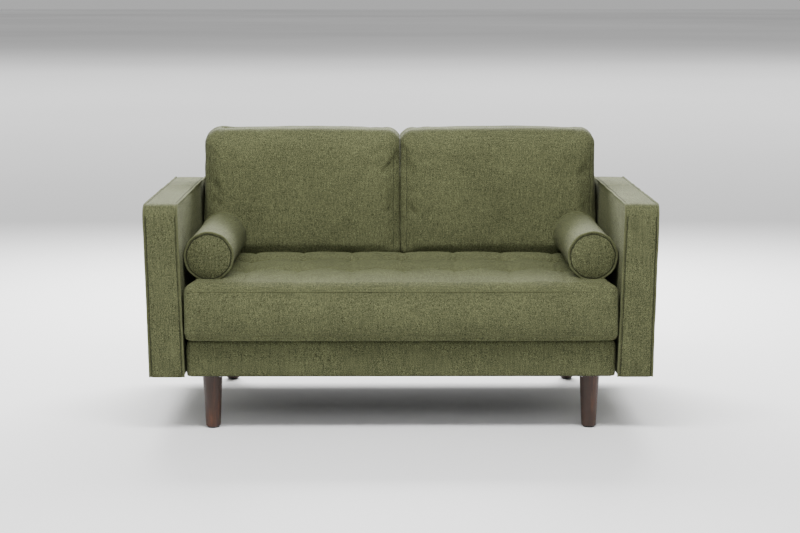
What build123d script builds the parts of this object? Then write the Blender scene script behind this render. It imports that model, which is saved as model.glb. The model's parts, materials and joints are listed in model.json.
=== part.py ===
from build123d import *
import math
import os

# Two-seat sofa with a bench seat cushion, two back cushions, two bolsters and four tapered wooden legs.
# Millimetres. +Z is up, the front faces -Y, and the origin is on the floor under the middle of the sofa.

# ---- Overall places ----
FRONT_Y = -415.0  # front of the seat cushion
REAR_Y = 415.0  # rear of the outside back panel
TOP_Z = 850.0  # top of the back cushions
BASE_Z = 163.0  # underside of the seat base and of the arms
CLOTH = 2.0  # thickness of the upholstery cloth with its backing
GAP = 0.4  # clearance between pieces that only lie against each other

# ---- Arms ----
ARM_FRONT_Y = -400.0
ARM_REAR_Y = 412.0
ARM_TOP_Z = 674.0
ARM_INNER_X = (636.0, 650.0)  # inner face at BASE_Z and at ARM_TOP_Z
ARM_OUTER_X = (737.5, 747.0)  # outer face at BASE_Z and at ARM_TOP_Z
ARM_CORNER_RADIUS = 26.0  # front top corner, seen from the side
ARM_EDGE_RADIUS = 7.5
PIPING_RADIUS = 2.8
ARM_FRAME_X = (662.0, 728.0)
ARM_FRAME_Y = (-386.0, 398.0)
ARM_FRAME_Z = (173.0, 655.0)
ARM_POST = 38.0
ARM_RAIL = 30.0
BOARD = 3.0

# ---- Seat base ----
BASE_HALF_WIDTH = 631.0
APRON_Y = -380.0
DECK_Z = 274.0
RAIL_TOP_Z = 255.0
RAIL = 25.0
RAIL_HALF_WIDTH = 621.0
FRONT_RAIL_Y = -372.0
SPRING_RAIL_Y = 288.0
SILL_RAIL_Y = 372.0
DECK_REAR_Y = 286.0
DECK_PAD = 10.0
DECK_INSET = 10.0  # how far the deck stays inside the apron
CENTRE_RAIL = (40.0, 50.0)  # width and height

# ---- Seat springs ----
SPRING_COUNT = 9
SPRING_SPACING = 128.0
SPRING_WIRE = 1.9  # radius
SPRING_PITCH = 30.0
SPRING_HALF_WIDTH = 24.0
SPRING_Z = RAIL_TOP_Z + 3.4
TIE_WIRE = 1.1  # radius
TIE_WIRE_COUNT = 3

# ---- Legs ----
LEG_X = 560.0
LEG_FRONT_Y = -330.0
LEG_REAR_Y = 344.0
LEG_TOP_Z = 160.0
LEG_TOP_RADIUS = 29.5
LEG_FOOT_RADIUS = 21.5
LEG_FOOT_ROUNDING = 3.5
GLIDE_HEIGHT = 4.0
GLIDE_RADIUS = 17.0
PLATE = 70.0
PLATE_HOLES = 50.0
BLOCK_HEIGHT = 45.0
BOLT_RADIUS = 4.0

# ---- Back ----
BACK_FOOT_Z = 275.0
BACK_FRONT_Y = (290.0, 335.0)  # front face at BACK_FOOT_Z and at ARM_TOP_Z
BACK_COVER_REAR_Y = 413.0 - GAP
BACK_SIDE_GAP = 3.5
BACK_PAD = 15.0
POST_WIDTH = 23.0
POST_REAR_Y = 405.0
POST_TOP_Z = 660.0
TOP_RAIL_HEIGHT = 25.0
BOTTOM_RAIL_HEIGHT = 44.0
WEBBING = 1.5
WEBBING_WIDTH = 50.0
WEBBING_ROWS = 4
WEBBING_FIRST_Z = 320.0
WEBBING_SPACING = 82.0

# ---- Cushions ----
SEAT_HALF_WIDTH = 634.0
SEAT_BOTTOM_Z = 274.5
SEAT_TOP_Z = 436.0
SEAT_REAR_Y = 287.0
SEAT_EDGE_RADIUS = 24.0
TUFT_COLUMNS = 7
TUFT_ROWS = (-185.0, 58.0)
TUFT_SPACING = 158.0
TUFT_SHIFT_X = 8.0
WRAP = 14.0  # fibre wrap and cover around a foam or fibre core
BACK_CUSHION_X = (1.2, 634.0)
BACK_CUSHION_FRONT_Y = (162.0, 222.0)  # at its foot and at its top
BACK_CUSHION_REAR_Y = (308.0, 352.0)
BACK_CUSHION_RADIUS = 26.0
BOLSTER_RADIUS = 75.0
BOLSTER_Y = (-320.0, 158.0)
BOLSTER_X = {"left": -567.0, "right": 566.0}
BOLSTER_EDGE_RADIUS = 6.0

SIDES = {"left": -1, "right": 1}
LEGS = {
    "front_left": (-LEG_X, LEG_FRONT_Y),
    "front_right": (LEG_X, LEG_FRONT_Y),
    "rear_left": (-LEG_X, LEG_REAR_Y),
    "rear_right": (LEG_X, LEG_REAR_Y),
}


def write(builder, name):
    """Labels a finished piece and writes it as its own STEP file."""
    builder.part.label = name
    export_step(builder.part, f"parts/{name}.step")


def between(ends, low_z, high_z, z):
    """The value at height z of something that runs straight from ends[0] at low_z to ends[1] at high_z."""
    return ends[0] + (ends[1] - ends[0]) * (z - low_z) / (high_z - low_z)


def arm_inner_x(z):
    return between(ARM_INNER_X, BASE_Z, ARM_TOP_Z, z)


def back_front_y(z):
    return between(BACK_FRONT_Y, BACK_FOOT_Z, ARM_TOP_Z, z)


def block(x, y, z, mode=Mode.ADD):
    """A box from its (low, high) limits on each axis."""
    with Locations((sum(x) / 2, sum(y) / 2, sum(z) / 2)):
        return Box(x[1] - x[0], y[1] - y[0], z[1] - z[0], mode=mode)


def side_limits(side, low, high):
    """Limits in X of a piece that lies from low to high off the middle, on one side."""
    return sorted((side * low, side * high))


# ---------------------------------------------------------------- legs and their hardware
def leg(name, x, y):
    """A turned, tapered leg, bored at the top for its hanger bolt."""
    with BuildPart() as piece:
        with BuildSketch(Plane.XZ):
            with BuildLine():
                Polyline(
                    (0, GLIDE_HEIGHT),
                    (LEG_FOOT_RADIUS, GLIDE_HEIGHT),
                    (LEG_TOP_RADIUS, LEG_TOP_Z),
                    (0, LEG_TOP_Z),
                    close=True,
                )
            make_face()
        revolve(axis=Axis.Z)
        fillet(piece.edges().group_by(Axis.Z)[0], radius=LEG_FOOT_ROUNDING)
        with Locations((0, 0, LEG_TOP_Z)):
            Hole(radius=BOLT_RADIUS + 0.1, depth=42)
    piece.part.locate(Location((x, y, 0)))
    write(piece, f"{name}_leg")


def plate_screws(mode):
    """Adds the sixteen plate screws to the piece being built, or cuts their holes."""
    foot = (Align.CENTER, Align.CENTER, Align.MIN)
    for x, y in LEGS.values():
        with Locations((x, y, LEG_TOP_Z - 2)):
            with GridLocations(PLATE_HOLES, PLATE_HOLES, 2, 2):
                Cylinder(4, 2, align=foot, mode=mode)
                Cylinder(2, 26, align=foot, mode=mode)


def leg_hardware():
    """Glides, hanger bolts, mounting plates and their screws, each as one group of four or sixteen."""
    feet = list(LEGS.values())
    with BuildPart() as glides:
        with Locations([(x, y, GLIDE_HEIGHT / 2) for x, y in feet]):
            Cylinder(GLIDE_RADIUS, GLIDE_HEIGHT)
        chamfer(glides.edges().group_by(Axis.Z)[0], length=0.8)
    write(glides, "leg_glides")

    with BuildPart() as bolts:
        with Locations([(x, y, LEG_TOP_Z + 4) for x, y in feet]):
            Cylinder(BOLT_RADIUS, 88)
    write(bolts, "leg_bolts")

    with BuildPart() as plates:
        with BuildSketch(Plane.XY.offset(LEG_TOP_Z)):
            with Locations(feet):
                RectangleRounded(PLATE, PLATE, 8)
                Circle(BOLT_RADIUS + 0.1, mode=Mode.SUBTRACT)
                with GridLocations(PLATE_HOLES, PLATE_HOLES, 2, 2):
                    Circle(2.2, mode=Mode.SUBTRACT)
        extrude(amount=BASE_Z - LEG_TOP_Z)
    write(plates, "leg_plates")

    with BuildPart() as screws:
        plate_screws(Mode.ADD)
    write(screws, "leg_plate_screws")


# ---------------------------------------------------------------- seat base
def frame_bolt_places():
    """Start and direction of each frame bolt: three through each side rail, four up through the back sill."""
    sideways = [
        (side * (RAIL_HALF_WIDTH - RAIL), y, 188.0, side)
        for side in SIDES.values()
        for y in (-250.0, 0.0, 250.0)
    ]
    upward = [(x, SILL_RAIL_Y + RAIL / 2, BASE_Z + 40) for x in (-450.0, -150.0, 150.0, 450.0)]
    return sideways, upward


def cut_frame_bolts(radius):
    """Cuts the bolt holes out of the piece being built."""
    sideways, upward = frame_bolt_places()
    for x, y, z, side in sideways:
        with Locations(Location((x + side * 60, y, z), (0, 90, 0))):
            Cylinder(radius, 160, mode=Mode.SUBTRACT)
    with Locations([(x, y, z + 50) for x, y, z in upward]):
        Cylinder(radius, 200, mode=Mode.SUBTRACT)


def frame_bolts():
    """The bolts that hold the arms and the back to the seat base."""
    sideways, upward = frame_bolt_places()
    with BuildPart() as bolts:
        for x, y, z, side in sideways:
            with Locations(Location((x + side * 55, y, z), (0, 90, 0))):
                Cylinder(BOLT_RADIUS - 0.5, 110)
            with Locations(Location((x - side * 2.5, y, z), (0, 90, 0))):
                Cylinder(9, 5)
        for x, y, z in upward:
            with Locations((x, y, z + 35)):
                Cylinder(BOLT_RADIUS - 0.5, 70)
    write(bolts, "frame_bolts")


def seat_rails():
    """The timber rails of the seat base, bored for the frame bolts."""
    across = (-RAIL_HALF_WIDTH, RAIL_HALF_WIDTH)
    height = (BASE_Z, RAIL_TOP_Z)
    side_y = (FRONT_RAIL_Y + RAIL, SILL_RAIL_Y)
    inside = RAIL_HALF_WIDTH - RAIL
    rails = {
        "front_seat_rail": (across, (FRONT_RAIL_Y, FRONT_RAIL_Y + RAIL), height),
        "back_sill_rail": (across, (SILL_RAIL_Y, SILL_RAIL_Y + RAIL), height),
        "left_seat_rail": ((-RAIL_HALF_WIDTH, -inside), side_y, height),
        "right_seat_rail": ((inside, RAIL_HALF_WIDTH), side_y, height),
        "rear_seat_rail": ((-inside, inside), (SPRING_RAIL_Y, SPRING_RAIL_Y + RAIL), height),
        "centre_seat_rail": (
            (-CENTRE_RAIL[0] / 2, CENTRE_RAIL[0] / 2),
            (FRONT_RAIL_Y + RAIL, SPRING_RAIL_Y),
            (BASE_Z, BASE_Z + CENTRE_RAIL[1]),
        ),
    }
    for name, limits in rails.items():
        with BuildPart() as rail:
            block(*limits)
            cut_frame_bolts(BOLT_RADIUS)
            plate_screws(Mode.SUBTRACT)
        write(rail, name)


def corner_blocks():
    """Hardwood blocks glued into the corners of the base, where the legs screw in."""
    inside = RAIL_HALF_WIDTH - RAIL
    height = (BASE_Z, BASE_Z + BLOCK_HEIGHT)
    with BuildPart() as blocks:
        for side in SIDES.values():
            across = side_limits(side, inside - 78, inside)
            block(across, (FRONT_RAIL_Y + RAIL, FRONT_RAIL_Y + RAIL + 70), height)
            block(across, (SPRING_RAIL_Y + RAIL, SILL_RAIL_Y), height)
        with Locations([(x, y, BASE_Z + 25) for x, y in LEGS.values()]):
            Cylinder(BOLT_RADIUS + 0.5, 60, mode=Mode.SUBTRACT)
        plate_screws(Mode.SUBTRACT)
    write(blocks, "corner_blocks")


def spring_columns():
    middle = (SPRING_COUNT - 1) / 2
    return [(i - middle) * SPRING_SPACING for i in range(SPRING_COUNT)]


def seat_springs():
    """Sinuous springs from the front rail to the rear seat rail, with their clips and tie wires."""
    start_y = FRONT_RAIL_Y + RAIL / 2
    end_y = SPRING_RAIL_Y + RAIL / 2
    turns = 2 * round((end_y - start_y) / SPRING_PITCH / 2)
    pitch = (end_y - start_y) / turns
    points = []
    for i in range(turns + 1):
        first = -SPRING_HALF_WIDTH if i % 2 == 0 else SPRING_HALF_WIDTH
        y = start_y + i * pitch
        points += [(first, y, SPRING_Z), (-first, y, SPRING_Z)]
    with BuildPart() as one_spring:
        with BuildLine() as path:
            FilletPolyline(*points, radius=pitch * 0.47)
        with BuildSketch(Plane(origin=path.line @ 0, z_dir=path.line % 0)):
            Circle(SPRING_WIRE)
        sweep(path=path.line)
    with BuildPart() as springs:
        with Locations([(x, 0, 0) for x in spring_columns()]):
            add(one_spring.part)
    write(springs, "seat_springs")

    with BuildPart() as clips:
        for x in spring_columns():
            for y in (start_y, end_y):
                block((x - 9, x + 9), (y - 4, y + 4), (RAIL_TOP_Z, RAIL_TOP_Z + 6.6))
                channel = (RAIL_TOP_Z + 1, RAIL_TOP_Z + 5.6)
                block((x - 10, x + 10), (y - 3, y + 3), channel, mode=Mode.SUBTRACT)
    write(clips, "spring_clips")

    tie_length = 2 * (RAIL_HALF_WIDTH - RAIL)
    tie_z = SPRING_Z - SPRING_WIRE - TIE_WIRE - GAP
    with BuildPart() as ties:
        for i in range(TIE_WIRE_COUNT):
            y = start_y + (i + 1) * (end_y - start_y) / (TIE_WIRE_COUNT + 1)
            with Locations(Location((0, y, tie_z), (0, 90, 0))):
                Cylinder(TIE_WIRE, tie_length)
    write(ties, "spring_tie_wires")


def deck():
    """The felt pad over the springs and the decking cloth under the seat cushion."""
    inside = BASE_HALF_WIDTH - DECK_INSET
    depth = (APRON_Y + DECK_INSET, DECK_REAR_Y)
    with BuildPart() as pad:
        block((-inside, inside), depth, (DECK_Z - CLOTH - DECK_PAD, DECK_Z - CLOTH))
    write(pad, "deck_pad")
    with BuildPart() as cloth:
        block((-inside, inside), depth, (DECK_Z - CLOTH, DECK_Z))
    write(cloth, "deck_cloth")


def apron():
    """The padded cloth band round the front and the sides of the seat base."""
    inside = BASE_HALF_WIDTH - CLOTH
    band_z = (BASE_Z, DECK_Z)
    with BuildPart() as cover:
        with BuildSketch(Plane.XY.offset(BASE_Z)):
            with Locations((0, (APRON_Y + POST_REAR_Y) / 2)):
                RectangleRounded(2 * BASE_HALF_WIDTH, POST_REAR_Y - APRON_Y, 4)
                Rectangle(2 * inside, POST_REAR_Y - APRON_Y - 2 * CLOTH, mode=Mode.SUBTRACT)
        extrude(amount=DECK_Z - BASE_Z)
        block((-inside, inside), (SILL_RAIL_Y + RAIL, POST_REAR_Y + 1), band_z, mode=Mode.SUBTRACT)
        cut_frame_bolts(BOLT_RADIUS)
    write(cover, "apron_cover")
    with BuildPart() as pad:
        block(
            (-RAIL_HALF_WIDTH, RAIL_HALF_WIDTH),
            (APRON_Y + CLOTH, FRONT_RAIL_Y),
            (BASE_Z, DECK_Z - CLOTH - DECK_PAD),
        )
    write(pad, "apron_pad")


def dust_cover():
    """The thin black cloth stapled under the base, cut out round the leg plates."""
    with BuildPart() as cloth:
        with BuildSketch(Plane.XY.offset(BASE_Z - 1)):
            with Locations((0, (APRON_Y + POST_REAR_Y) / 2)):
                RectangleRounded(2 * RAIL_HALF_WIDTH, POST_REAR_Y - APRON_Y - 12, 6)
            with Locations(list(LEGS.values())):
                RectangleRounded(PLATE + 2, PLATE + 2, 9, mode=Mode.SUBTRACT)
        extrude(amount=1)
    write(cloth, "dust_cover")


# ---------------------------------------------------------------- arms
def arm_outline(side):
    """The arm's four corners in front view, leaning outward."""
    return [
        (side * ARM_INNER_X[0], BASE_Z),
        (side * ARM_OUTER_X[0], BASE_Z),
        (side * ARM_OUTER_X[1], ARM_TOP_Z),
        (side * ARM_INNER_X[1], ARM_TOP_Z),
    ]


def arm_envelope(side, inset):
    """The arm's padded shape, taken in by inset all round."""
    with BuildPart() as shape:
        with BuildSketch(Plane.XZ.offset(inset - ARM_REAR_Y)):
            Polygon(*arm_outline(side), align=None)
            if inset:
                offset(amount=-inset, kind=Kind.INTERSECTION, mode=Mode.REPLACE)
        extrude(amount=ARM_REAR_Y - ARM_FRONT_Y - 2 * inset)
        top = shape.edges().filter_by(Axis.X).group_by(Axis.Z)[-1]
        fillet(top.sort_by(Axis.Y)[0], radius=ARM_CORNER_RADIUS - inset)
        rear_top = shape.edges().filter_by(Axis.X).group_by(Axis.Z)[-1].sort_by(Axis.Y)[-1]
        fillet(rear_top, radius=ARM_EDGE_RADIUS - inset)
        panels = shape.faces().filter_by(lambda f: abs(f.normal_at().X) > 0.9)
        fillet(panels.edges(), radius=ARM_EDGE_RADIUS - inset)
    return shape.part


def arm_timber(side, name):
    """Two posts, two rails and the boards on both faces of one arm."""
    across = side_limits(side, *ARM_FRAME_X)
    y0, y1 = ARM_FRAME_Y
    z0, z1 = ARM_FRAME_Z
    timbers = {
        "front_post": ((y0, y0 + ARM_POST), (z0, z1)),
        "rear_post": ((y1 - ARM_POST, y1), (z0, z1)),
        "top_rail": ((y0 + ARM_POST, y1 - ARM_POST), (z1 - ARM_RAIL, z1)),
        "bottom_rail": ((y0 + ARM_POST, y1 - ARM_POST), (z0, z0 + ARM_RAIL)),
    }
    for timber, (depth, height) in timbers.items():
        with BuildPart() as piece:
            block(across, depth, height)
            cut_frame_bolts(BOLT_RADIUS)
        write(piece, f"{name}_arm_{timber}")
    with BuildPart() as boards:
        block(side_limits(side, ARM_FRAME_X[0] - BOARD, ARM_FRAME_X[0]), (y0, y1), (z0, z1))
        block(side_limits(side, ARM_FRAME_X[1], ARM_FRAME_X[1] + BOARD), (y0, y1), (z0, z1))
        cut_frame_bolts(BOLT_RADIUS)
    write(boards, f"{name}_arm_boards")


def arm_upholstery(side, name):
    """Padding, cover and the two runs of piping of one arm."""
    outside = arm_envelope(side, 0)
    inside = arm_envelope(side, CLOTH)
    body = arm_envelope(side, CLOTH + 0.2)
    with BuildPart() as padding:
        add(body)
        across = side_limits(side, ARM_FRAME_X[0] - BOARD, ARM_FRAME_X[1] + BOARD)
        block(across, ARM_FRAME_Y, ARM_FRAME_Z, mode=Mode.SUBTRACT)
        cut_frame_bolts(BOLT_RADIUS)
    write(padding, f"{name}_arm_padding")
    with BuildPart() as cover:
        add(outside)
        add(inside, mode=Mode.SUBTRACT)
        cut_frame_bolts(BOLT_RADIUS)
    write(cover, f"{name}_arm_cover")
    with BuildPart() as piping:
        for low_x, high_x in (ARM_INNER_X, ARM_OUTER_X):
            corners = [
                (side * low_x, ARM_FRONT_Y, BASE_Z),
                (side * high_x, ARM_FRONT_Y, ARM_TOP_Z),
                (side * high_x, ARM_REAR_Y, ARM_TOP_Z),
                (side * low_x, ARM_REAR_Y, BASE_Z),
            ]
            with BuildLine() as path:
                FilletPolyline(*corners, radius=[ARM_CORNER_RADIUS, ARM_EDGE_RADIUS])
            with BuildSketch(Plane(origin=path.line @ 0, z_dir=path.line % 0)):
                Circle(PIPING_RADIUS)
            sweep(path=path.line)
    write(piping, f"{name}_arm_piping")


# ---------------------------------------------------------------- back
def post_front_y(z):
    """The raked front edge of the back posts."""
    return back_front_y(z) + CLOTH + BACK_PAD + WEBBING + 1.0


def side_prism(outline, x):
    """A solid with a side-view outline of (y, z) corners, between two limits in X."""
    with BuildPart() as prism:
        with BuildSketch(Plane.YZ.offset(x[0])):
            Polygon(*outline, align=None)
        extrude(amount=x[1] - x[0])
    return prism


def raked_outline(low_z, high_z, front, rear_y):
    """Side-view corners of a piece whose front edge follows front(z) and whose rear is upright."""
    return [(front(low_z), low_z), (rear_y, low_z), (rear_y, high_z), (front(high_z), high_z)]


def back_frame():
    """Posts, rails and elastic webbing of the back."""
    foot_z = RAIL_TOP_Z + 1
    outer = BASE_HALF_WIDTH - CLOTH - 1
    inner = outer - POST_WIDTH
    posts = {
        "back_left_post": ((-outer, -inner), foot_z, POST_TOP_Z),
        "back_right_post": ((inner, outer), foot_z, POST_TOP_Z),
        "back_centre_post": (
            (-POST_WIDTH / 2, POST_WIDTH / 2),
            foot_z + BOTTOM_RAIL_HEIGHT,
            POST_TOP_Z - TOP_RAIL_HEIGHT,
        ),
        "back_top_rail": ((-inner, inner), POST_TOP_Z - TOP_RAIL_HEIGHT, POST_TOP_Z),
    }
    for name, (x, low_z, high_z) in posts.items():
        write(side_prism(raked_outline(low_z, high_z, post_front_y, POST_REAR_Y), x), name)
    with BuildPart() as rail:
        block((-inner, inner), (SILL_RAIL_Y, POST_REAR_Y), (foot_z, foot_z + BOTTOM_RAIL_HEIGHT))
        cut_frame_bolts(BOLT_RADIUS)
    write(rail, "back_bottom_rail")
    with BuildPart() as webbing:
        for row in range(WEBBING_ROWS):
            low_z = WEBBING_FIRST_Z + row * WEBBING_SPACING
            high_z = low_z + WEBBING_WIDTH
            low_y = post_front_y(low_z) - 0.2
            high_y = post_front_y(high_z) - 0.2
            with BuildSketch(Plane.YZ.offset(-outer)):
                Polygon(
                    (low_y - WEBBING, low_z),
                    (low_y, low_z),
                    (high_y, high_z),
                    (high_y - WEBBING, high_z),
                    align=None,
                )
            extrude(amount=2 * outer)
    write(webbing, "back_webbing")


def back_front_view(inset, low_z, high_z):
    """Front-view outline of the back between the leaning arms."""
    low_x = arm_inner_x(low_z) - BACK_SIDE_GAP - inset
    high_x = arm_inner_x(high_z) - BACK_SIDE_GAP - inset
    return [(-low_x, low_z), (low_x, low_z), (high_x, high_z), (-high_x, high_z)]


def back_body(inset, low_z, high_z, rear_y):
    """The back's padded shape, taken in by inset at the front, the top and the sides."""
    outline = raked_outline(low_z, high_z, lambda z: back_front_y(z) + inset, rear_y)
    with BuildPart() as shape:
        with BuildSketch(Plane.XZ.offset(-rear_y - 10)):
            Polygon(*back_front_view(inset, low_z, high_z), align=None)
        extrude(amount=300)
        with BuildSketch(Plane.YZ.offset(-700)):
            Polygon(*outline, align=None)
        extrude(amount=1400, mode=Mode.INTERSECT)
    return shape.part


def back_upholstery():
    """Padding and cover of the back, and the plain panel that closes it behind."""
    top_z = ARM_TOP_Z
    outside = back_body(0, BACK_FOOT_Z, top_z, BACK_COVER_REAR_Y)
    inside = back_body(CLOTH, BACK_FOOT_Z - 5, top_z - CLOTH, REAR_Y)
    with BuildPart() as cover:
        add(outside)
        add(inside, mode=Mode.SUBTRACT)
    write(cover, "back_cover")
    body = back_body(CLOTH + 0.1, BACK_FOOT_Z, top_z - CLOTH - 0.1, BACK_COVER_REAR_Y - 1)
    frame_space = raked_outline(
        BACK_FOOT_Z - 5, POST_TOP_Z + 1, lambda z: back_front_y(z) + CLOTH + BACK_PAD, REAR_Y
    )
    with BuildPart() as padding:
        add(body)
        with BuildSketch(Plane.YZ.offset(-BASE_HALF_WIDTH)):
            Polygon(*frame_space, align=None)
        extrude(amount=2 * BASE_HALF_WIDTH, mode=Mode.SUBTRACT)
    write(padding, "back_padding")
    with BuildPart() as panel:
        with BuildSketch(Plane.XZ.offset(-REAR_Y)):
            Polygon(*back_front_view(0, BASE_Z, top_z), align=None)
        extrude(amount=CLOTH)
    write(panel, "outside_back_panel")


# ---------------------------------------------------------------- cushions
def tuft_ties(mode):
    """Adds the twine and washers of the tufts to the piece being built, or cuts their holes."""
    foot = (Align.CENTER, Align.CENTER, Align.MIN)
    middle = (TUFT_COLUMNS - 1) / 2
    columns = [TUFT_SHIFT_X + (i - middle) * TUFT_SPACING for i in range(TUFT_COLUMNS)]
    with Locations([(x, y, SEAT_BOTTOM_Z + 2) for x in columns for y in TUFT_ROWS]):
        Cylinder(1.2, SEAT_TOP_Z - SEAT_BOTTOM_Z - 4, align=foot, mode=mode)
        Cylinder(9, 3, align=foot, mode=mode)


def seat_cushion():
    """Bench seat cushion: cover with its wrap, foam core and the twine that pulls the tufts down."""
    limits = ((-SEAT_HALF_WIDTH, SEAT_HALF_WIDTH), (FRONT_Y, SEAT_REAR_Y), (SEAT_BOTTOM_Z, SEAT_TOP_Z))
    core = [(low + WRAP, high - WRAP) for low, high in limits]
    hollow = [(low - GAP, high + GAP) for low, high in core]
    with BuildPart() as cover:
        block(*limits)
        fillet(cover.edges(), radius=SEAT_EDGE_RADIUS)
        block(*hollow, mode=Mode.SUBTRACT)
        tuft_ties(Mode.SUBTRACT)
    write(cover, "seat_cushion_cover")
    with BuildPart() as foam:
        block(*core)
        tuft_ties(Mode.SUBTRACT)
    write(foam, "seat_cushion_foam")
    with BuildPart() as ties:
        tuft_ties(Mode.ADD)
    write(ties, "seat_cushion_ties")


def back_cushion_body(side, inset, radius):
    """One back cushion: a flat foot on the seat, leaning back, thinner at the top."""
    x = side_limits(side, BACK_CUSHION_X[0] + inset, BACK_CUSHION_X[1] - inset)
    foot_z = SEAT_TOP_Z + GAP + inset
    top_z = TOP_Z - inset
    front = [value + inset for value in BACK_CUSHION_FRONT_Y]
    rear = [value - inset - GAP for value in BACK_CUSHION_REAR_Y]
    outline = [(front[0], foot_z), (rear[0], foot_z), (rear[1], top_z), (front[1], top_z)]
    with BuildPart() as shape:
        with BuildSketch(Plane.YZ.offset(x[0])):
            Polygon(*outline, align=None)
        extrude(amount=x[1] - x[0])
        fillet(shape.edges(), radius=radius)
    return shape


def back_cushion(side, name):
    """Cover with its wrap, and the fibre filling, of one back cushion."""
    outside = back_cushion_body(side, 0, BACK_CUSHION_RADIUS)
    hollow = back_cushion_body(side, WRAP - GAP, WRAP + GAP)
    with BuildPart() as cover:
        add(outside.part)
        add(hollow.part, mode=Mode.SUBTRACT)
    write(cover, f"{name}_back_cushion_cover")
    write(back_cushion_body(side, WRAP, WRAP), f"{name}_back_cushion_filling")


def bolster(name, x):
    """A round bolster with flat ends, lying front to back beside an arm."""
    length = BOLSTER_Y[1] - BOLSTER_Y[0]
    middle = (BOLSTER_Y[0] + BOLSTER_Y[1]) / 2
    place = Location((x, middle, SEAT_TOP_Z + GAP + BOLSTER_RADIUS), (90, 0, 0))
    wrap = WRAP / 2
    with BuildPart() as cover:
        with Locations(place):
            Cylinder(BOLSTER_RADIUS, length)
        fillet(cover.edges(), radius=BOLSTER_EDGE_RADIUS)
        with Locations(place):
            Cylinder(BOLSTER_RADIUS - wrap, length - 2 * wrap, mode=Mode.SUBTRACT)
    write(cover, f"{name}_bolster_cover")
    with BuildPart() as filling:
        with Locations(place):
            Cylinder(BOLSTER_RADIUS - wrap - GAP, length - 2 * wrap - 2 * GAP)
    write(filling, f"{name}_bolster_filling")


os.makedirs("parts", exist_ok=True)
for leg_name, (leg_x, leg_y) in LEGS.items():
    leg(leg_name, leg_x, leg_y)
leg_hardware()
seat_rails()
corner_blocks()
seat_springs()
deck()
apron()
dust_cover()
frame_bolts()
for side_name, side_sign in SIDES.items():
    arm_timber(side_sign, side_name)
    arm_upholstery(side_sign, side_name)
    back_cushion(side_sign, side_name)
    bolster(side_name, BOLSTER_X[side_name])
back_frame()
back_upholstery()
seat_cushion()
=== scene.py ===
import json
import math
import bpy
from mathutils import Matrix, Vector, noise
from mathutils.bvhtree import BVHTree


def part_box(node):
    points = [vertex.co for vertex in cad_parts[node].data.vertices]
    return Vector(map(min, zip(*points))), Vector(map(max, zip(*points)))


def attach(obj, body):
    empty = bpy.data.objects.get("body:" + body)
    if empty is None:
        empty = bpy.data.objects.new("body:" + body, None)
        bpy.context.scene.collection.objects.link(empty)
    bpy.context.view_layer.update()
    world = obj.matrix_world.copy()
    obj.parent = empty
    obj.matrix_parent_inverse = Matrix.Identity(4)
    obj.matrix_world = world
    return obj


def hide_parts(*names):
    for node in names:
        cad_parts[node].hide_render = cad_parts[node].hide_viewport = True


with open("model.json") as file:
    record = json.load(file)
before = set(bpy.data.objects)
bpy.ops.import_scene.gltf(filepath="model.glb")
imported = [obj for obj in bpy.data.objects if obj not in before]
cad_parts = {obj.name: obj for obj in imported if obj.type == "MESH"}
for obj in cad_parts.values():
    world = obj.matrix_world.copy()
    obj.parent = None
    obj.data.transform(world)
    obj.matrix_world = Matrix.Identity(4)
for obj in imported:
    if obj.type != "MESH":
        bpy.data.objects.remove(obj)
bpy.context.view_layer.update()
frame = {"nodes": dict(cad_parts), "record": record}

MM = 0.001
CLOTH_FRAMES = 20


# ------------------------------------------------------------------ node materials
def new_material(name, rough, **sockets):
    material = bpy.data.materials.new(name)
    material.use_nodes = True
    tree = material.node_tree
    shader = tree.nodes["Principled BSDF"]
    shader.inputs["Roughness"].default_value = rough
    for socket, value in sockets.items():
        shader.inputs[socket.replace("_", " ")].default_value = value
    return material, tree, shader


def node(tree, kind, inputs, **settings):
    made = tree.nodes.new("ShaderNode" + kind)
    for key, value in settings.items():
        setattr(made, key, value)
    for key, value in inputs.items():
        if isinstance(value, bpy.types.NodeSocket):
            tree.links.new(value, made.inputs[key])
        else:
            made.inputs[key].default_value = value
    return made


def math_node(tree, operation, a, b=0.0):
    return node(tree, "Math", {0: a, 1: b}, operation=operation).outputs[0]


def noise_node(tree, place, scale, stretch=(1, 1, 1), detail=3.0, rough=0.6):
    mapped = node(tree, "Mapping", {"Vector": place, "Scale": stretch}).outputs[0]
    settings = {"Vector": mapped, "Scale": scale, "Detail": detail, "Roughness": rough}
    return node(tree, "TexNoise", settings).outputs[0]


def ramp_node(tree, factor, stops):
    ramp = node(tree, "ValToRGB", {0: factor})
    while len(ramp.color_ramp.elements) < len(stops):
        ramp.color_ramp.elements.new(0.5)
    for element, (position, colour) in zip(ramp.color_ramp.elements, stops):
        element.position = position
        element.color = (*colour, 1)
    return ramp.outputs[0]


def shade(colour, amount):
    return tuple(min(1.0, channel * amount) for channel in colour)


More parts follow.
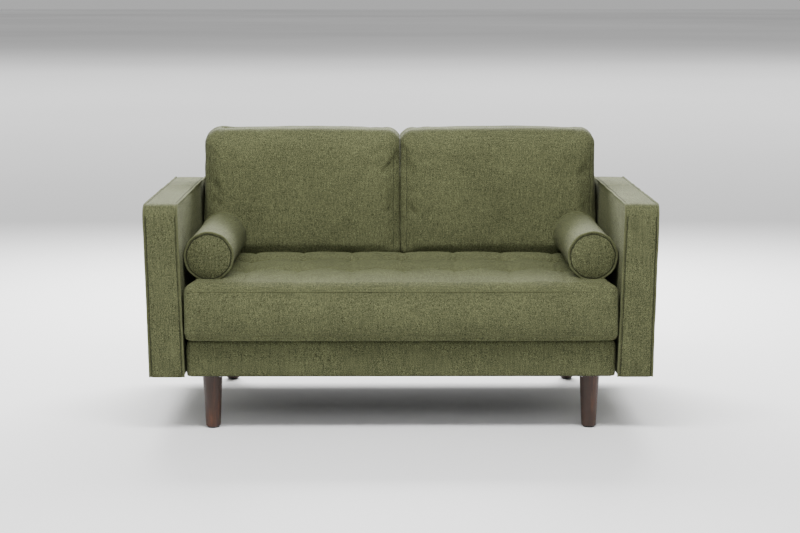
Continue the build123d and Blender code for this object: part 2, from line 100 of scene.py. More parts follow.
def cloth_material(name, colour, contrast=0.80, thread=2.4 * MM, sheen=0.03, bump=0.6):
    """Plain-weave cloth: thread grid, slubs both ways, heathered yarn and broad shading."""
    material, tree, shader = new_material(
        name, 0.92, Specular_IOR_Level=0.15,
        Sheen_Weight=sheen, Sheen_Roughness=0.4, Sheen_Tint=(0.75, 0.78, 0.5, 1),
    )
    place = node(tree, "TexCoord", {}).outputs["Object"]
    per_metre = 2 * math.pi / thread
    turns = node(tree, "VectorMath", {0: place, 1: (per_metre,) * 3}, operation="MULTIPLY").outputs[0]
    waves = node(tree, "VectorMath", {0: turns}, operation="SINE").outputs[0]
    x, y, z = node(tree, "SeparateXYZ", {0: waves}).outputs
    pairs = [math_node(tree, "MULTIPLY", a, b) for a, b in ((x, y), (y, z), (z, x))]
    weave = math_node(tree, "ADD", math_node(tree, "ADD", pairs[0], pairs[1]), pairs[2])
    yarn = noise_node(tree, place, 600, detail=2, rough=0.8)
    across = noise_node(tree, place, 260, (0.10, 1, 1), 2)
    upright = noise_node(tree, place, 260, (1, 1, 0.10), 2)
    depth = noise_node(tree, place, 260, (1, 0.10, 1), 2)
    broad = noise_node(tree, place, 5, detail=4)
    total = math_node(tree, "MULTIPLY", yarn, 0.70)
    for layer, weight in ((across, 0.06), (upright, 0.12), (depth, 0.06), (broad, 0.06), (weave, 0.02)):
        total = math_node(tree, "ADD", total, math_node(tree, "MULTIPLY", layer, weight))
    base = ramp_node(tree, total, [
        (0.42, shade(colour, max(0.22, 1 - contrast))),
        (0.50, colour),
        (0.55, shade(colour, 1 + 0.5 * contrast)),
        (0.63, shade(colour, 1 + 1.8 * contrast)),
    ])
    tree.links.new(base, shader.inputs["Base Color"])
    fibres = math_node(tree, "ADD", yarn, across)
    height = math_node(tree, "ADD", math_node(tree, "MULTIPLY", weave, 0.35), fibres)
    relief = node(tree, "Bump", {"Strength": bump, "Distance": 0.8 * MM, "Height": height}).outputs[0]
    tree.links.new(relief, shader.inputs["Normal"])
    return material


def wood_material(name, dark, light, rough):
    """Straight grain running up the piece, with pores and a broad tone change."""
    material, tree, shader = new_material(name, rough)
    place = node(tree, "TexCoord", {}).outputs["Object"]
    grain = noise_node(tree, place, 90, (1, 1, 0.06), 6, 0.65)
    pores = noise_node(tree, place, 700, (1, 1, 0.04), 2)
    broad = noise_node(tree, place, 9, (1, 1, 0.4), 3)
    toned = math_node(tree, "MULTIPLY", broad, 0.4)
    total = math_node(tree, "ADD", math_node(tree, "MULTIPLY", grain, 0.6), toned)
    base = ramp_node(tree, total, [(0.36, dark), (0.52, shade(dark, 1.5)), (0.66, light)])
    pore_range = {"Value": pores, "From Min": 0.35, "From Max": 0.5, "To Min": 0.65, "To Max": 1.0}
    pore = node(tree, "MapRange", pore_range).outputs[0]
    dimmed = node(tree, "MixRGB", {0: 1.0, 1: base, 2: pore}, blend_type="MULTIPLY").outputs[0]
    tree.links.new(dimmed, shader.inputs["Base Color"])
    gloss_range = {"Value": grain, "To Min": rough - 0.08, "To Max": rough + 0.12}
    gloss = node(tree, "MapRange", gloss_range).outputs[0]
    tree.links.new(gloss, shader.inputs["Roughness"])
    relief = node(tree, "Bump", {"Strength": 0.25, "Distance": 0.3 * MM, "Height": pores}).outputs[0]
    tree.links.new(relief, shader.inputs["Normal"])
    return material


def plain_material(name, colour, rough, metal=0.0, scale=300, bump=0.2):
    """Metal, plastic or foam: mottled colour and roughness with a fine relief."""
    material, tree, shader = new_material(name, rough, Metallic=metal)
    place = node(tree, "TexCoord", {}).outputs["Object"]
    mottle = noise_node(tree, place, scale, detail=4)
    base = ramp_node(tree, mottle, [(0.3, shade(colour, 0.75)), (0.7, shade(colour, 1.2))])
    tree.links.new(base, shader.inputs["Base Color"])
    gloss_range = {"Value": mottle, "To Min": rough - 0.1, "To Max": rough + 0.1}
    gloss = node(tree, "MapRange", gloss_range).outputs[0]
    tree.links.new(gloss, shader.inputs["Roughness"])
    relief = node(tree, "Bump", {"Strength": bump, "Distance": 0.5 * MM, "Height": mottle}).outputs[0]
    tree.links.new(relief, shader.inputs["Normal"])
    return material


OLIVE = (0.078, 0.084, 0.040)
FABRIC = cloth_material("olive_weave", OLIVE)
# Piping and welt cords: the olive fabric painted 12 % lighter, a painted highlight for the light the raised
# cords catch.
PIPING_PAINTED_HIGHLIGHT = cloth_material("olive_piping_painted_highlight", shade(OLIVE, 1.12), contrast=0.35, thread=1.6 * MM)
# Seam lines: the olive fabric painted at about a third of its brightness, painted shade for the shadow in the
# seam creases.
SEAM_PAINTED_SHADE = cloth_material("olive_seam_painted_shade", shade(OLIVE, 0.36), contrast=0.3, thread=1.5 * MM, sheen=0.05)
FINISHES = {
    "fabric": FABRIC,
    "leg_wood": wood_material("walnut_stain", (0.022, 0.008, 0.003), (0.090, 0.030, 0.012), 0.5),
    "frame_wood": wood_material("raw_timber", (0.36, 0.24, 0.13), (0.62, 0.47, 0.29), 0.75),
    "padding": plain_material("pale_foam", (0.78, 0.74, 0.62), 0.95, scale=220, bump=0.5),
    "lining": cloth_material("black_lining", (0.022, 0.022, 0.022), thread=1.2 * MM, sheen=0.1),
    "webbing": cloth_material("elastic_webbing", (0.10, 0.085, 0.07), thread=3 * MM),
    "twine": cloth_material("waxed_twine", shade(OLIVE, 0.7), thread=1 * MM),
    "steel": plain_material("zinc_steel", (0.55, 0.55, 0.56), 0.35, metal=1.0, scale=120),
    "glide": plain_material("black_glide", (0.02, 0.02, 0.02), 0.55, scale=500),
}


# ------------------------------------------------------------------ mesh tools
def add_piece(name, vertices, faces, body):
    """A new fabric mesh, given as the piece and the body it will ride on."""
    mesh = bpy.data.meshes.new(name)
    mesh.from_pydata(vertices, [], faces)
    mesh.update()
    piece = bpy.data.objects.new(name, mesh)
    bpy.context.scene.collection.objects.link(piece)
    mesh.materials.append(FABRIC)
    mesh.shade_smooth()
    return piece, body


def settle(made, *replaced, padded=None):
    piece, body = made
    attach(piece, body)
    if replaced:
        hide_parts(*replaced)
    return piece


def round_box(lo, hi, step, radius):
    """Vertices and quads of a box of even quads with rounded edges."""
    counts = [max(2, round((hi[k] - lo[k]) / step)) for k in range(3)]
    index, places, faces = {}, [], []

    def corner(key):
        if key not in index:
            index[key] = len(places)
            point = Vector([lo[k] + (hi[k] - lo[k]) * key[k] / counts[k] for k in range(3)])
            core = Vector([min(max(point[k], lo[k] + radius), hi[k] - radius) for k in range(3)])
            away = point - core
            if away.length > 1e-9:
                point = core + away.normalized() * radius
            places.append(point)
        return index[key]

    for axis in range(3):
        a, b = (axis + 1) % 3, (axis + 2) % 3
        for end in (0, counts[axis]):
            for i in range(counts[a]):
                for j in range(counts[b]):
                    quad = []
                    for di, dj in ((0, 0), (1, 0), (1, 1), (0, 1)):
                        key = [0, 0, 0]
                        key[axis], key[a], key[b] = end, i + di, j + dj
                        quad.append(corner(tuple(key)))
                    faces.append(quad if end else quad[::-1])
    return places, faces


def slab(lo, hi, step, edge, turns):
    """A box whose bottom and top corners have radius turns, as seen from the front, and whose front and
    back edges are rounded."""
    places, faces = round_box(lo, hi, step, 0.0)
    cx, cz = (lo[0] + hi[0]) / 2, (lo[2] + hi[2]) / 2
    half_x, half_z = (hi[0] - lo[0]) / 2, (hi[2] - lo[2]) / 2
    for p in places:
        turn = turns[1] if p.z > cz else turns[0]
        away = Vector((abs(p.x - cx) - half_x + turn, abs(p.z - cz) - half_z + turn))
        if away.x > 0 and away.y > 0:
            away *= max(away.x, away.y) / away.length
            inset, way = turn - away.length, away.normalized()
        else:
            inset = turn - max(away.x, away.y)
            way = Vector((1, 0)) if away.x > away.y else Vector((0, 1))
        depth = min(p.y - lo[1], hi[1] - p.y)
        sink, drop = 0.0, 0.0
        if inset < edge and depth < edge:
            out = Vector((edge - inset, edge - depth))
            keep = 1 - edge / out.length
            sink, drop = out.x * keep, out.y * keep
        away -= way * sink
        p.x = cx + math.copysign(half_x - turn + away.x, p.x - cx)
        p.z = cz + math.copysign(half_z - turn + away.y, p.z - cz)
        p.y += drop if p.y < (lo[1] + hi[1]) / 2 else -drop
    return places, faces


def crown(places, lo, hi, swell):
    """Swells each side of a box most at its middle, by swell[axis]."""
    middle = [(lo[k] + hi[k]) / 2 for k in range(3)]
    half = [(hi[k] - lo[k]) / 2 for k in range(3)]
    for point in places:
        t = [max(-1.0, min(1.0, (point[k] - middle[k]) / half[k])) for k in range(3)]
        keep = [1 - t[k] ** 4 for k in range(3)]
        for k in range(3):
            point[k] += swell[k] * t[k] * keep[(k + 1) % 3] * keep[(k + 2) % 3]


def refine(piece):
    """Applies one smooth subdivision."""
    modifier = piece.modifiers.new("smooth", "SUBSURF")
    modifier.levels = modifier.render_levels = 1
    solid = piece.evaluated_get(bpy.context.evaluated_depsgraph_get())
    mesh = bpy.data.meshes.new_from_object(solid)
    piece.modifiers.clear()
    piece.data = mesh
    mesh.shade_smooth()


def reshape(piece, rule):
    """Moves every vertex by rule(place, normal)."""
    normals = [vertex.normal.copy() for vertex in piece.data.vertices]
    for vertex, normal in zip(piece.data.vertices, normals):
        vertex.co = rule(vertex.co.copy(), normal)
    piece.data.update()


def inflate(piece, held, pressure, cap):
    """Fills a closed cloth piece with air. held(place) says how firmly a point stays, and cap is the furthest
    that a point may move."""
    start = [vertex.co.copy() for vertex in piece.data.vertices]
    pins = piece.vertex_groups.new(name="held")
    for i, place in enumerate(start):
        pins.add([i], held(place), "REPLACE")
    modifier = piece.modifiers.new("air", "CLOTH")
    cloth = modifier.settings
    cloth.quality = 4
    cloth.mass = 0.25
    cloth.tension_stiffness = cloth.compression_stiffness = 18.0
    cloth.shear_stiffness = 6
    cloth.bending_stiffness = 0.4
    cloth.use_pressure = True
    cloth.uniform_pressure_force = pressure
    cloth.vertex_group_mass = "held"
    cloth.effector_weights.gravity = 0
    modifier.point_cache.frame_end = CLOTH_FRAMES
    for step in range(1, CLOTH_FRAMES + 1):
        bpy.context.scene.frame_set(step)
    solid = piece.evaluated_get(bpy.context.evaluated_depsgraph_get())
    moved = [vertex.co.copy() for vertex in solid.data.vertices]
    piece.modifiers.clear()
    piece.vertex_groups.clear()
    bpy.context.scene.frame_set(1)
    for vertex, old, new in zip(piece.data.vertices, start, moved):
        shift = new - old
        if shift.length > cap:
            shift *= cap / shift.length
        vertex.co = old + shift
    piece.data.update()
    refine(piece)


def bell(distance, width):
    return math.exp(-((distance / width) ** 2))


def ripple(place, size, seed=0.0):
    """Smooth noise from -1 to 1 that changes over a length size."""
    return noise.noise(Vector((place.x, place.y, place.z)) / size + Vector((seed, 1.7 * seed, 3.1 * seed)))


def tube(name, points, radius, body, material=PIPING_PAINTED_HIGHLIGHT, closed=False):
    """A round cord along points: piping, or a thin line along a seam that carries painted seam shade."""
    curve = bpy.data.curves.new(name, "CURVE")
    curve.dimensions = "3D"
    curve.bevel_depth = radius
    curve.bevel_resolution = 3
    curve.use_fill_caps = not closed
    line = curve.splines.new("POLY")
    line.points.add(len(points) - 1)
    for point, place in zip(line.points, points):
        point.co = (*place, 1)
    line.use_cyclic_u = closed
    curve.materials.append(material)
    piece = bpy.data.objects.new(name, curve)
    bpy.context.scene.collection.objects.link(piece)
    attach(piece, body)


def surface_of(piece):
    mesh = piece.data
    return BVHTree.FromPolygons([v.co for v in mesh.vertices], [list(p.vertices) for p in mesh.polygons])


def cast(surface, starts, sink):
    """Points where lines from starts, each a place and a direction, first meet a surface, sunk in by sink."""
    hits = []
    for place, direction in starts:
        hit, normal, _, _ = surface.ray_cast(Vector(place), Vector(direction).normalized())
        if hit is not None:
            hits.append(hit - normal * sink)
    return hits


def spread(low, high, count):
    return [low + (high - low) * i / (count - 1) for i in range(count)]


def mix(a, b, t):
    return a + (b - a) * t


# ------------------------------------------------------------------ arms
ARM_LO, ARM_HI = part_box("left_arm_cover")
ARM_FACES = ((0.636, 0.650), (0.7375, 0.747))  # inner and outer face at the foot and at the top
ARM_Z = (ARM_LO[2], ARM_HI[2])
ARM_Y = (ARM_LO[1], ARM_HI[1])
ARM_SEAM_Y = 0.112  # the seam across the top and down the outside


def arm_x(t, z):
    up = (z - ARM_Z[0]) / (ARM_Z[1] - ARM_Z[0])
    return mix(mix(*ARM_FACES[0], up), mix(*ARM_FACES[1], up), t)


def arm(side, name):
    thick = 0.104
    lo, hi = (0.0, ARM_Y[0], ARM_Z[0]), (thick, ARM_Y[1], ARM_Z[1])
    places, faces = round_box(lo, hi, 9 * MM, 6 * MM)
    crown(places, lo, hi, (2.5 * MM, 3 * MM, 2.5 * MM))
    turn = 34 * MM
    for p in places:
        y, z = p.y - ARM_Y[0], ARM_Z[1] - p.z
        if y < turn and z < turn:  # the rounded front top corner
            away = Vector((turn - y, turn - z))
            reach = max(abs(away.x), abs(away.y))
            if away.length > 1e-9:
                away *= reach / away.length
            p.y, p.z = ARM_Y[0] + turn - away.x, ARM_Z[1] - turn + away.y
        p.x = side * arm_x(p.x / thick, p.z)
    if side < 0:
        faces = [face[::-1] for face in faces]
    made = add_piece(f"{name}_arm_upholstery", places, faces, "frame")
    refine(made[0])

    def soften(p, n):
        wave = 1.3 * MM * ripple(p, 0.16, side) + 0.5 * MM * ripple(p, 0.05, side + 4)
        seam = 2.2 * MM * bell(p.y - ARM_SEAM_Y, 4 * MM) if n.z > 0.5 else 0.0
        foot = min(1.0, (p.z - ARM_Z[0]) / 0.02)
        return p + n * (wave * foot - seam)

    reshape(made[0], soften)
    piece = settle(made, f"{name}_arm_cover", f"{name}_arm_piping", f"{name}_arm_padding", padded=0.9)
    surface = surface_of(piece)
    for t, label in ((0.0, "inner"), (1.0, "outer")):
        y0, y1 = ARM_Y[0] + 1.2 * MM, ARM_Y[1] - 1.2 * MM
        path = [(y0, z) for z in spread(ARM_Z[0] + 3 * MM, ARM_Z[1] - 1.2 * MM - turn, 40)]
        for a in spread(0, 90, 9)[1:]:
            c, s = math.cos(math.radians(a)), math.sin(math.radians(a))
            path.append((y0 + turn * (1 - c), ARM_Z[1] - 1.2 * MM - turn * (1 - s)))
        path += [(y, ARM_Z[1] - 1.2 * MM) for y in spread(y0 + turn, y1 - 8 * MM, 60)[1:]]
        path += [(y1 - 2.5 * MM, ARM_Z[1] - 3.6 * MM)]
        path += [(y1, z) for z in spread(ARM_Z[1] - 9 * MM, ARM_Z[0] + 3 * MM, 36)]
        outward = -1 if t == 0 else 1
        points = []
        for y, z in path:
            x = arm_x(t, z) - outward * 1.0 * MM
            place = Vector((side * x, y, z))
            sway = 1.1 * MM * ripple(place, 0.045, 7 + t)
            points.append((place.x + side * sway, place.y, place.z + 0.5 * sway))
        # The piping cord is in the lighter piping fabric: painted highlight.
        tube(f"{name}_arm_{label}_piping", points, 3.0 * MM, "frame")
        # Thin dark lines just inside the piping on the front and the top: painted shade in the seam creases.
        front = [(x - side * outward * 6 * MM, y0, z) for x, _, z in points[:40]]
        lines = cast(surface, [((x, y0 - 0.1, z), (0, 1, 0)) for x, _, z in front], 0.2 * MM)
        tube(f"{name}_arm_{label}_front_seam", lines, 1.3 * MM, "frame", SEAM_PAINTED_SHADE)
        above = [((x - side * outward * 6 * MM, y, z + 0.1), (0, 0, -1)) for x, y, z in points[50:106]]
        tube(f"{name}_arm_{label}_top_seam", cast(surface, above, 0.2 * MM), 1.3 * MM, "frame", SEAM_PAINTED_SHADE)
    # Dark lines along the seam across the top and down the outside: painted shade in the seam crease.
    columns = [side * arm_x(t, ARM_Z[1]) for t in spread(0.04, 0.96, 16)]
    across = [((x, ARM_SEAM_Y, ARM_Z[1] + 0.076), (0, 0, -1)) for x in columns]
    tube(f"{name}_arm_top_seam", cast(surface, across, 0.3 * MM), 1.0 * MM, "frame", SEAM_PAINTED_SHADE)
    rows = spread(ARM_Z[1] - 6 * MM, ARM_Z[0] + 8 * MM, 50)
    down = [((side * 0.80, ARM_SEAM_Y, z), (-side, 0, 0)) for z in rows]
    tube(f"{name}_arm_outer_seam_shade", cast(surface, down, 0.5 * MM), 0.9 * MM, "frame", SEAM_PAINTED_SHADE)


arm(-1, "left")
arm(1, "right")

# ------------------------------------------------------------------ back and base
BACK_LO, BACK_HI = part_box("back_cover")


def back_front(z):
    return mix(0.290, 0.335, (z - 0.275) / (0.674 - 0.275))


def back():
    """The fixed back: raked front, thin padded top and a plain outside."""
    thick = 0.100
    lo, hi = (-0.6405, 0.0, BACK_LO[2]), (0.6405, thick, BACK_HI[2])
    places, faces = round_box(lo, hi, 12 * MM, 9 * MM)
    crown(places, lo, hi, (0, 2 * MM, 3 * MM))
    for p in places:
        p.x *= (arm_x(0, p.z) - 3.5 * MM) / 0.6405
        p.y = mix(back_front(p.z), 0.4110, p.y / thick)
    made = add_piece("back_upholstery", places, faces, "frame")
    refine(made[0])
    reshape(made[0], lambda p, n: p + n * (1.2 * MM * ripple(p, 0.12, 2) if p.z > 0.30 else 0))
    settle(made, "back_cover", "back_padding", padded=0.9)
    z0, z1 = 0.1645, 0.6735
    columns, rows = 100, 44
    places, faces = [], []
    for j in range(rows + 1):
        z = mix(z0, z1, j / rows)
        for i in range(columns + 1):
            u = 2 * i / columns - 1
            rim = min(1 - abs(u), 2 * min(j, rows - j) / rows * 0.4)
            x = u * (arm_x(0, z) - 3.2 * MM)
            swell = 2.2 * MM * (1 - math.exp(-rim / 0.03)) + 0.7 * MM * ripple(Vector((x, 0, z)), 0.14, 9)
            places.append((x, 0.4130 + swell, z))
    row = columns + 1
    for j in range(rows):
        for i in range(columns):
            a = j * row + i
            faces.append((a, a + row, a + row + 1, a + 1))
    made = add_piece("outside_back", places, faces, "frame")
    settle(made, "outside_back_panel")
    # The edge cords down the sides and along the top are in the lighter piping fabric: painted highlight.
    for side in (-1, 1):
        edge = [(side * (arm_x(0, z) - 3.4 * MM), 0.4140, z) for z in spread(z0, z1, 40)]
        tube(f"outside_back_edge_{'left' if side < 0 else 'right'}", edge, 1.6 * MM, "frame", PIPING_PAINTED_HIGHLIGHT)
    top = [(x, 0.4136 + 0.5 * MM * ripple(Vector((x, 0, 0)), 0.05), z1) for x in spread(-0.645, 0.645, 90)]
    tube("outside_back_top_edge", top, 1.8 * MM, "frame", PIPING_PAINTED_HIGHLIGHT)


def apron():
    """Padded band round the front and sides of the base, pulled under at the bottom."""
    lo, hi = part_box("apron_cover")
    half, front, turn = 0.630, -0.380, 10 * MM
    bend = front + turn
    path = [(-half, y) for y in spread(0.40, bend + 1 * MM, 60)]
    for a in spread(0, 90, 7)[1:]:
        c, s = math.cos(math.radians(a)), math.sin(math.radians(a))
        path.append((-half + turn * (1 - c), bend - turn * s))
    path += [(x, front) for x in spread(-half + 11 * MM, half - 11 * MM, 110)]
    for a in spread(90, 0, 7):
        c, s = math.cos(math.radians(a)), math.sin(math.radians(a))
        path.append((half - turn * (1 - c), bend - turn * s))
    path += [(half, y) for y in spread(bend + 1 * MM, 0.40, 60)]
    # how far out and how far up the band's section runs, in mm
    profile = [(-12, 0.3), (-3, 0.3), (0.4, 2), (1.6, 7), (1.9, 16), (2.0, 32), (2.2, 55), (2.0, 78),
               (1.2, 95), (-1, 104), (-6, 108.5), (-12, 110)]
    places, faces = [], []
    for i, (x, y) in enumerate(path):
        before, after = path[max(i - 1, 0)], path[min(i + 1, len(path) - 1)]
        along = Vector((after[0] - before[0], after[1] - before[1])).normalized()
        out = Vector((along.y, -along.x))
        for depth, height in profile:
            p = Vector((x + out.x * depth * MM, y + out.y * depth * MM, lo[2] + height * MM))
            p.z = min(p.z, hi[2] - 0.3 * MM)
            sway = ripple(p, 0.09, 5) * 1.3 * MM
            places.append((p.x + out.x * sway, p.y + out.y * sway, p.z))
    count = len(profile)
    for i in range(len(path) - 1):
        for j in range(count - 1):
            a = i * count + j
            faces.append((a, a + count, a + count + 1, a + 1))
    made = add_piece("apron_band", places, faces, "frame")
    refine(made[0])
    settle(made, "apron_cover", "apron_pad")


back()
apron()

# ------------------------------------------------------------------ bench seat cushion
SEAT_LO, SEAT_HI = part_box("seat_cushion_cover")
TUFT_LO, TUFT_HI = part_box("seat_cushion_ties")
TUFT_X = spread(TUFT_LO[0] + 9 * MM, TUFT_HI[0] - 9 * MM, 7)
TUFT_Y = (TUFT_LO[1] + 9 * MM, TUFT_HI[1] - 9 * MM)
PITCH = TUFT_X[1] - TUFT_X[0]
BOLSTERS = {}
for bolster_name in ("left", "right"):
    low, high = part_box(f"{bolster_name}_bolster_cover")
    centre_x, centre_z, radius = (low[0] + high[0]) / 2, (low[2] + high[2]) / 2, (high[2] - low[2]) / 2
    BOLSTERS[bolster_name] = (centre_x, low[1], high[1], centre_z, radius)
EDGE_TOP, EDGE_BOTTOM = SEAT_HI[2] - 17 * MM, SEAT_LO[2] + 15 * MM


def tuft_distance(p):
    return min(math.hypot(p.x - x, p.y - y) for x in TUFT_X for y in TUFT_Y)


def seat_cushion():
    lo = (SEAT_LO[0] - 6 * MM, SEAT_LO[1] + 4 * MM, SEAT_LO[2])
    hi = (SEAT_HI[0] + 6 * MM, SEAT_HI[1] - 3 * MM, SEAT_HI[2] - 1 * MM)
    places, faces = round_box(lo, hi, 9 * MM, 25 * MM)
    crown(places, lo, hi, (0, 3 * MM, 14 * MM))
    for p in places:
        if p.z < SEAT_LO[2]:
            p.z = SEAT_LO[2]
        if p.z > 0.40:
            p.z += 4 * MM - 15 * MM * bell(tuft_distance(p), 30 * MM)
    made = add_piece("seat_cushion", places, faces, "seat_cushion")

    def held(p):
        if p.z < SEAT_LO[2] + 3 * MM:
            return 1.0
        return 1.0 if p.z > 0.40 and tuft_distance(p) < 9 * MM else 0.0

    inflate(made[0], held, 3.2, 13 * MM)

    def finish(p, n):
        if n.z > 0.35 and p.z > 0.40:
            rise = min(max(0.0, 0.172 - p.y) * 0.5, 3 * MM + max(0.0, p.y - SEAT_LO[1]) * 0.095)
            p.z = min(p.z, SEAT_HI[2] + rise)
            dip = 9 * MM * bell(tuft_distance(p), 15 * MM) + 4 * MM * bell(tuft_distance(p), 50 * MM)
            for i, x in enumerate(TUFT_X):
                line = x + 4 * MM * math.sin(14 * p.y + 2 * i) + 3 * MM * ripple(p, 0.12, i)
                dip += 3.0 * MM * bell(p.x - line, 6 * MM)
            wave = math.sin(math.pi * (p.x - TUFT_X[0]) / PITCH) ** 2
            between = 1 - math.sqrt(wave)
            for j, y in enumerate(TUFT_Y):
                line = y + (12 + 5 * ripple(p, 0.2, j + 3)) * MM * wave
                dip += 4.5 * MM * bell(p.y - line, 9 * MM) + 4.5 * MM * between * bell(p.y - y, 70 * MM)
                for x in TUFT_X:
                    reach = math.hypot(p.x - x, p.y - y)
                    if reach < 0.09:
                        angle = math.atan2(p.y - y, p.x - x)
                        dip += 1.5 * MM * math.cos(7 * angle + 5 * x) * bell(reach - 0.025, 0.022)
            dip += 1.6 * MM * ripple(p, 0.07, 1) + 0.8 * MM * ripple(p, 0.028, 6)
            p.z -= dip
        elif n.z > -0.6:
            sink = 1.2 * MM * bell(p.z - EDGE_TOP, 5 * MM) + 3.0 * MM * bell(p.z - EDGE_BOTTOM, 5 * MM)
            upright = Vector((p.x * 3, p.y * 3, p.z))
            sink += 1.6 * MM * ripple(p, 0.08, 2) + 0.7 * MM * ripple(upright, 0.06, 8)
            p -= n * sink
        for cx, y0, y1, cz, r in BOLSTERS.values():
            if y0 - 0.01 < p.y < y1 + 0.01 and p.z > 0.40:
                away = Vector((p.x - cx, p.z - cz))
                if away.length < r + 1 * MM:
                    p.z = cz - math.sqrt(max(0.0, (r + 1 * MM) ** 2 - away.x ** 2))
        p.z = min(p.z, SEAT_HI[2] + max(0.0, 0.172 - p.y) * 0.5)
        p.z = max(p.z, SEAT_LO[2])
        p.z -= 6 * MM * min(1.0, max(0.0, (-0.386 - p.y) / 0.02)) * bell(p.z - SEAT_LO[2], 60 * MM)
        p.x = max(SEAT_LO[0], min(SEAT_HI[0], p.x))
        p.y = min(p.y, SEAT_HI[1])
        return p

    reshape(made[0], finish)
    piece = settle(made, "seat_cushion_cover", "seat_cushion_foam", padded=0.85)
    surface = surface_of(piece)
    for z, label in ((EDGE_TOP, "upper"), (EDGE_BOTTOM, "lower")):
        starts = [((-0.72, y, z), (1, 0, 0)) for y in spread(0.26, SEAT_LO[1] + 24 * MM, 60)]
        for a in spread(0, 90, 12)[1:-1]:
            c, s = math.cos(math.radians(a)), math.sin(math.radians(a))
            starts.append(((-0.60 - 0.1 * c, -0.385 - 0.1 * s, z), (c, s, 0)))
        starts += [((x, -0.52, z), (0, 1, 0)) for x in spread(-0.600, 0.600, 160)]
        for a in spread(90, 0, 12)[1:-1]:
            c, s = math.cos(math.radians(a)), math.sin(math.radians(a))
            starts.append(((0.60 + 0.1 * c, -0.385 - 0.1 * s, z), (-c, s, 0)))
        starts += [((0.72, y, z), (-1, 0, 0)) for y in spread(SEAT_LO[1] + 24 * MM, 0.26, 60)]
        # The welt seams are drawn in the lighter piping fabric: painted highlight.
        size = 1.4 * MM if label == "upper" else 1.7 * MM
        tube(f"seat_{label}_seam", cast(surface, starts, 0.2 * MM), size, "seat_cushion", PIPING_PAINTED_HIGHLIGHT)


seat_cushion()


# ------------------------------------------------------------------ back cushions
def back_cushion(side, name):
    node_lo, node_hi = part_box(f"{name}_back_cushion_cover")
    thick = 0.138
    spare = (2 * MM, 9 * MM)[::side]  # past the node's left and right side: more where the two cushions meet
    lo = (node_lo[0] - spare[1], 5 * MM, node_lo[2])
    hi = (node_hi[0] + spare[0], thick - 1 * MM, node_hi[2] + 2 * MM)
    places, faces = slab(lo, hi, 9 * MM, 30 * MM, (34 * MM, 46 * MM))
    crown(places, lo, hi, (8 * MM, 6 * MM, 10 * MM))

    def lean(z):
        up = (z - node_lo[2]) / (node_hi[2] - node_lo[2])
        return mix(0.162, 0.222, up), mix(0.3072, 0.3512, up)

    for p in places:
        p.z = max(p.z, node_lo[2])
        near, far = lean(p.z)
        p.y = min(mix(near, far, p.y / thick), far)
    made = add_piece(f"{name}_back_cushion", places, faces, f"{name}_back_cushion")
    middle = (node_lo[0] + node_hi[0]) / 2
    half = (node_hi[0] - node_lo[0]) / 2

    def held(p):
        return 1.0 if p.z < node_lo[2] + 3 * MM or p.y > lean(p.z)[1] - 4 * MM else 0.0

    inflate(made[0], held, 3.0, 13 * MM)

    def finish(p, n):
        across = abs(p.x - middle)
        low = (p.z - node_lo[2]) / 0.41
        level = Vector((p.x, p.y, p.z * 2.2))
        wave = 2.2 * MM * ripple(p, 0.13, side) + 1.2 * MM * ripple(level, 0.07, side + 3)
        if n.y < -0.3:
            gap = half - across - 20 * MM
            fade = min(1.0, max(0.0, (node_hi[2] - 70 * MM - p.z) / 0.03))
            wave -= 1.2 * MM * bell(gap, 4 * MM) * fade
            wave += 0.5 * MM * math.sin(p.z / (5.5 * MM) + 3 * ripple(p, 0.05)) * bell(gap, 12 * MM) * fade
            wave += 2.0 * MM * math.sin(p.x * 22 + 4 * side) * bell(low, 0.2)
        else:
            wave -= 1.8 * MM * bell(p.y - lean(p.z)[0] - 62 * MM, 5 * MM)
        p += n * wave
        p.z = max(p.z, node_lo[2])
        p.y = min(p.y, lean(p.z)[1])
        inner, outer = 0.3 * MM, 0.6355
        reach = max(inner, min(outer, side * p.x))
        p.x = side * reach
        return p

    reshape(made[0], finish)
    piece = settle(made, f"{name}_back_cushion_cover", f"{name}_back_cushion_filling", padded=0.75)
    surface = surface_of(piece)
    # Dark lines near the side edges of the cushion front: painted shade in the seam creases.
    for edge in (-1, 1):
        label = "inner" if edge * side < 0 else "outer"
        x = middle + edge * (half - 20 * MM)
        rows = spread(node_lo[2] + 22 * MM, node_hi[2] - 62 * MM, 90)
        starts = [((x + 1.2 * MM * math.sin(z * 60), 0.0, z), (0, 1, 0)) for z in rows]
        line = cast(surface, starts, 0.5 * MM)
        tube(f"{name}_back_cushion_{label}_seam", line, 1.0 * MM, f"{name}_back_cushion", SEAM_PAINTED_SHADE)


back_cushion(-1, "left")
back_cushion(1, "right")


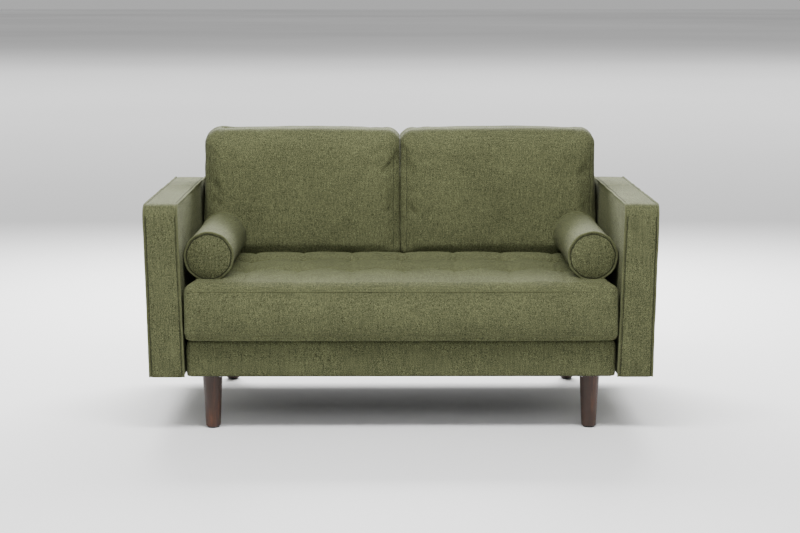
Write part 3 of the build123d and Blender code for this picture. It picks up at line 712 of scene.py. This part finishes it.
# ------------------------------------------------------------------ bolsters
def bolster(name):
    cx, y0, y1, cz, r = BOLSTERS[name]
    around = 80
    start = r - 3 * MM
    profile = [(start * t, -5 * MM * (1 - t * t)) for t in spread(0.06, 0.90, 9)]
    profile += [(start * 0.955, 0.5 * MM), (start * 0.99, 3 * MM), (start, 7 * MM)]
    length = y1 - y0
    ring = profile + [(start, d) for d in spread(14 * MM, length / 2, 30)]
    full = [(q, y0 + d) for q, d in ring] + [(q, y1 - d) for q, d in reversed(ring[:-1])]
    places, faces = [], []
    for q, y in full:
        for k in range(around):
            a = 2 * math.pi * k / around
            places.append(Vector((cx + q * math.cos(a), y, cz + q * math.sin(a))))
    for i in range(len(full) - 1):
        for k in range(around):
            a, b = i * around + k, i * around + (k + 1) % around
            faces.append((a, a + around, b + around, b))
    faces.append(list(range(around)))
    faces.append(list(range((len(full) - 1) * around, len(full) * around))[::-1])
    made = add_piece(f"{name}_bolster", places, faces, f"{name}_bolster")

    def held(p):
        out = math.hypot(p.x - cx, p.z - cz)
        return 1.0 if out > start - 1 * MM and min(p.y - y0, y1 - p.y) < 8 * MM else 0.0

    inflate(made[0], held, 3.0, 5 * MM)

    def finish(p, n):
        out = Vector((p.x - cx, p.z - cz))
        end = min(p.y - y0, y1 - p.y)
        angle = math.atan2(out.y, out.x)
        wave = 1.4 * MM * ripple(p, 0.09, cx)
        wave += 1.0 * MM * math.sin(17 * angle + 3 * math.sin(p.y * 30)) * bell(end - 12 * MM, 16 * MM)
        p += n * wave
        out = Vector((p.x - cx, p.z - cz))
        if out.length > r:
            out *= r / out.length
            p.x, p.z = cx + out.x, cz + out.y
        p.y = max(y0 - 6 * MM, min(y1 + 2 * MM, p.y))
        return p

    reshape(made[0], finish)
    piece = settle(made, f"{name}_bolster_cover", f"{name}_bolster_filling", padded=0.9)
    surface = surface_of(piece)
    for label, y, way in (("front", y0 + 1.5 * MM, 1), ("rear", y1 - 1.5 * MM, -1)):
        rim, starts = [], []
        for k in range(96):
            a = 2 * math.pi * k / 96
            sway = 0.5 * MM * math.sin(9 * a + cx)
            c, s = math.cos(a), math.sin(a)
            rim.append((cx + (r - 3.6 * MM + sway) * c, y, cz + (r - 3.6 * MM + sway) * s))
            inner = r - 9.5 * MM + sway
            starts.append(((cx + inner * c, y - 0.1 * way, cz + inner * s), (0, way, 0)))
        line = cast(surface, starts, 0.2 * MM)
        # The rim piping is in the lighter piping fabric: painted highlight.
        tube(f"{name}_bolster_{label}_piping", rim, 3.4 * MM, f"{name}_bolster", closed=True)
        # The dark ring just inside the piping is painted shade in the seam crease.
        tube(f"{name}_bolster_{label}_seam", line, 1.7 * MM, f"{name}_bolster", SEAM_PAINTED_SHADE, closed=True)


bolster("left")
bolster("right")

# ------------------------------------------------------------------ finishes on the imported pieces
slots = {entry["node"]: entry["material_slot"] for entry in frame["record"]["subparts"]}
for node_name, packed in frame["nodes"].items():
    packed.data.materials.clear()
    packed.data.materials.append(FINISHES[slots[node_name]])

# ------------------------------------------------------------------ floor, light and camera
floor_mesh = bpy.data.meshes.new("floor")
floor_mesh.from_pydata([(-60, -20, 0), (60, -20, 0), (60, 160, 0), (-60, 160, 0)], [], [(0, 1, 2, 3)])
floor = bpy.data.objects.new("floor", floor_mesh)
bpy.context.scene.collection.objects.link(floor)
floor_mesh.materials.append(plain_material("pale_floor", (0.93, 0.93, 0.93), 0.9, scale=0.02, bump=0.0))


def area_light(name, place, target, size, power):
    lamp = bpy.data.lights.new(name, "AREA")
    lamp.shape = "RECTANGLE"
    lamp.size, lamp.size_y = size
    lamp.energy = power
    holder = bpy.data.objects.new(name, lamp)
    holder.location = place
    holder.rotation_euler = (Vector(target) - Vector(place)).to_track_quat("-Z", "Y").to_euler()
    holder.visible_camera = False
    bpy.context.scene.collection.objects.link(holder)


area_light("key", (-0.2, -1.25, 2.6), (0, 0.1, 0.5), (2.8, 0.6), 112)
area_light("front", (0.3, -3.4, 2.4), (0, 0, 0.6), (2.8, 1.2), 24)
area_light("backdrop", (0, 17, 9), (0, 17.001, 0), (44, 20), 5200)
area_light("top", (0, 2.9, 2.5), (0, 0, 0.6), (3.8, 1.0), 500)
world = bpy.data.worlds.new("studio")
world.use_nodes = True
world.node_tree.nodes["Background"].inputs[0].default_value = (1, 1, 1, 1)
world.node_tree.nodes["Background"].inputs[1].default_value = 0.5
bpy.context.scene.world = world

camera_data = bpy.data.cameras.new("camera")
camera_data.lens = 79.4
camera = bpy.data.objects.new("camera", camera_data)
camera.location = (-0.031, -5.467, 1.272)
camera.rotation_euler = (math.radians(90 - 8.73), 0, math.radians(-0.31))
bpy.context.scene.collection.objects.link(camera)
bpy.context.scene.camera = camera
